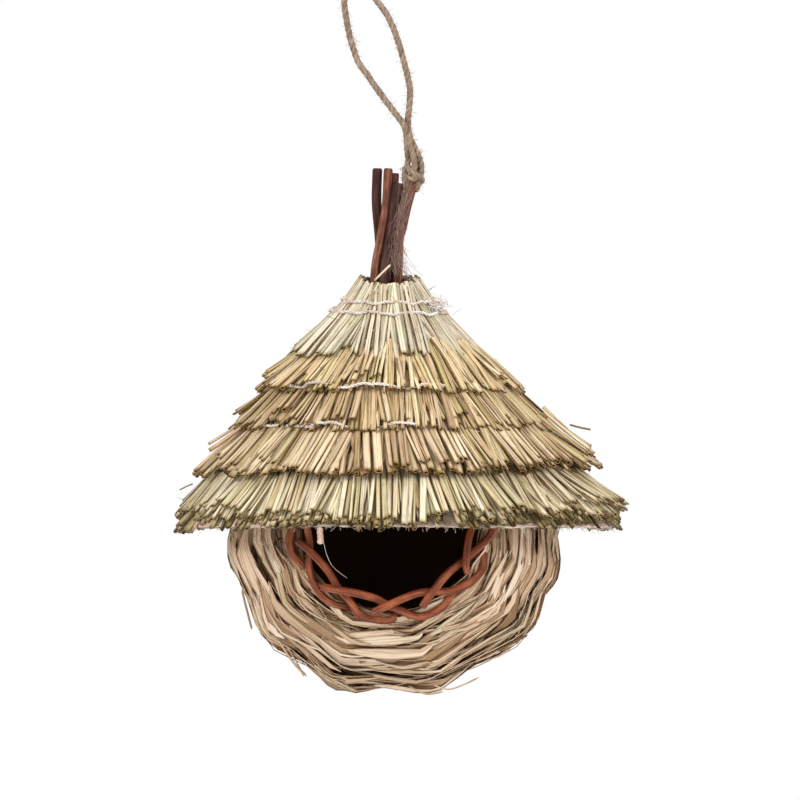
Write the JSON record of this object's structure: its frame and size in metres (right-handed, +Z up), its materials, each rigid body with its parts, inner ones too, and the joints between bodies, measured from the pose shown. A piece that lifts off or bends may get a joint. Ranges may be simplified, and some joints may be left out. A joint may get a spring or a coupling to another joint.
{
  "type": "hanging woven bird nest",
  "caption": "Woven grass globe nest with a cane-bordered mouth under a thatched straw roof, hung by a jute loop from a bundle of sticks.",
  "frame": {"origin": "top of the jute hanging loop, on the cord's centre line", "axes": "+Z up along the roof's axis, -Y out of the nest's mouth, +X to the right of the mouth"},
  "size_m": [0.1512, 0.1512, 0.2369],
  "materials": {
    "grass_weave": "dry split grass and corn husk strips, matt, with dark gaps between them",
    "willow_cane": "red-brown willow with its bark on, satin and grooved lengthways",
    "bark_stick": "dark brown twig bark, satin, with pale cut ends",
    "straw": "dry hollow straw, slightly glossy skin, cut ends",
    "lining_cloth": "thin pale cotton cloth with a frayed edge, matt",
    "thread": "white cotton sewing thread",
    "jute": "twisted jute twine, hairy and matt"
  },
  "bodies": {
    "root": {"nest_basket": "grass_weave", "border_cane_01": "willow_cane", "border_cane_02": "willow_cane", "border_cane_03": "willow_cane", "border_cane_04": "willow_cane", "border_cane_05": "willow_cane", "border_cane_06": "willow_cane", "border_cane_07": "willow_cane", "border_cane_08": "willow_cane", "border_cane_09": "willow_cane", "border_cane_10": "willow_cane", "border_cane_11": "willow_cane", "roof_lining": "lining_cloth", "thatch_tier_1": "straw", "thatch_tier_2": "straw", "thatch_tier_3": "straw", "thatch_tier_4": "straw", "thatch_tier_5": "straw", "stitch_row_1": "thread", "stitch_row_2": "thread", "stitch_row_3": "thread", "stitch_row_4": "thread", "stick_a": "bark_stick", "stick_b": "willow_cane", "stick_c": "bark_stick", "stick_d": "bark_stick", "stick_e": "willow_cane", "hang_cord": "jute", "cord_knot": "jute", "cord_tail": "jute"}
  },
  "joints": []
}
